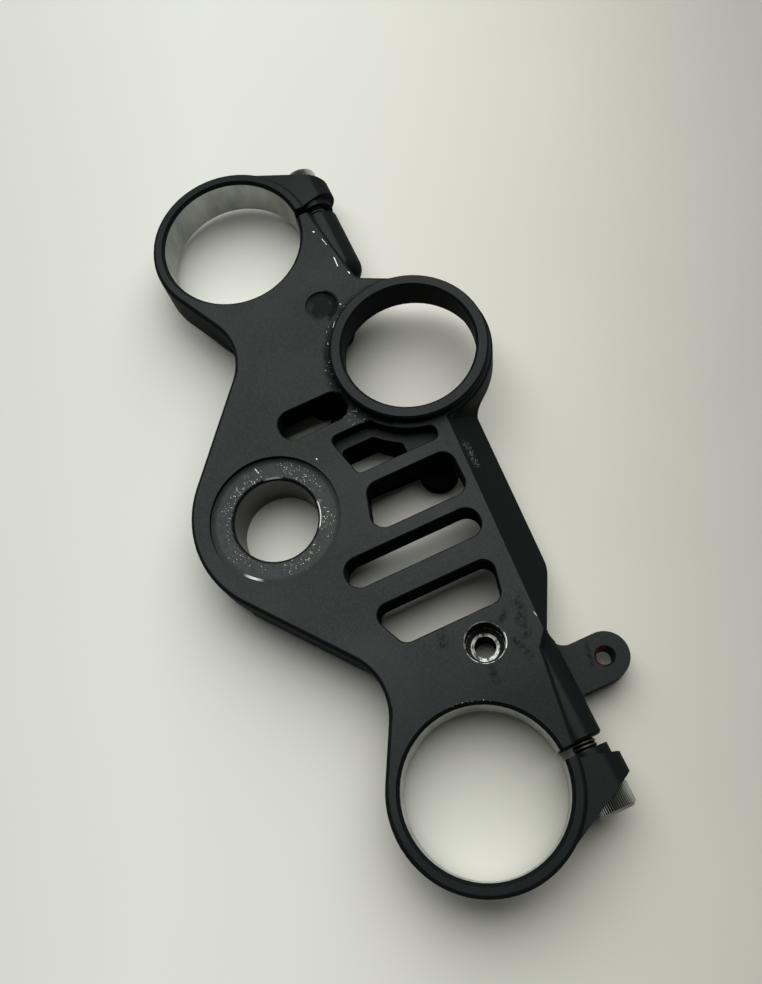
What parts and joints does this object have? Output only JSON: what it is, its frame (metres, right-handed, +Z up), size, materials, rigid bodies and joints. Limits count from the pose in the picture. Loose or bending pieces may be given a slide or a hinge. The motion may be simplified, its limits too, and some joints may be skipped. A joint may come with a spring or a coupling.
{
  "type": "motorcycle upper triple clamp",
  "caption": "Motorcycle upper fork yoke: split fork clamps with pinch screws, a steering stem bore, a raised ignition switch ring, lightening slots and a cable guide tab.",
  "frame": {"origin": "on the steering stem axis, at the underside of the stem boss that the clamp rests on", "axes": "+X to the rider's right, +Y forward, +Z up along the steering stem, millimetres in the source"},
  "size_m": [0.269, 0.1205, 0.024],
  "materials": {
    "yoke": "dark satin anodised aluminium, bare machined fork bores and a worn stem recess",
    "screw_steel": "plain steel with a knurled head"
  },
  "bodies": {
    "root": {"triple_clamp": "yoke", "pinch_screw_right": "screw_steel", "pinch_screw_left": "screw_steel"}
  },
  "joints": []
}
